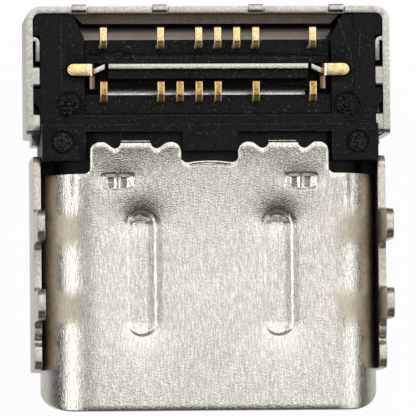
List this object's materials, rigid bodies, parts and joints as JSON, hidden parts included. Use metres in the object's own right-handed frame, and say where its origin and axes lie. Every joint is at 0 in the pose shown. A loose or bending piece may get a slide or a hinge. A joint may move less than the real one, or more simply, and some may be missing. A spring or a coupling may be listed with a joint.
{
  "type": "usb socket",
  "caption": "Board-mount socket with a stadium mouth and tongue, a drawn steel shell in a folded bracket with legs, and a rear cover round rows of gold gull-wing feet.",
  "frame": {"origin": "middle of the cover's outer face, below the middle of the socket's box", "axes": "+Z out of the solder side, away from the cover that it lies on; +Y from the mouth to the rear; +X to the right when the solder side is seen with the mouth towards the viewer"},
  "size_m": [0.0096, 0.0106, 0.0047],
  "materials": {
    "shell_steel": "nickel plated, finely brushed along the mouth's axis",
    "bracket_steel": "nickel plated, satin, with bright sheared edges",
    "cover_steel": "nickel plated, satin",
    "black_moulding": "matte glass-filled moulding with light specks",
    "carrier_moulding": "matte glass-filled moulding with flash lines",
    "plate_steel": "bright sheared edges, gold plated side feet",
    "ground_steel": "satin",
    "contact_gold": "gold plated copper alloy"
  },
  "bodies": {
    "root": {"front_shell": "shell_steel", "outer_bracket": "bracket_steel", "rear_cover": "cover_steel", "housing": "black_moulding", "front_carrier": "carrier_moulding", "rear_carrier": "carrier_moulding", "mid_plate": "plate_steel", "upper_ground_plate": "ground_steel", "lower_ground_plate": "ground_steel", "contact_a1": "contact_gold", "contact_a4": "contact_gold", "contact_a5": "contact_gold", "contact_a6": "contact_gold", "contact_a7": "contact_gold", "contact_a9": "contact_gold", "contact_a12": "contact_gold", "contact_b1": "contact_gold", "contact_b4": "contact_gold", "contact_b5": "contact_gold", "contact_b6": "contact_gold", "contact_b7": "contact_gold", "contact_b9": "contact_gold", "contact_b12": "contact_gold"}
  },
  "joints": []
}
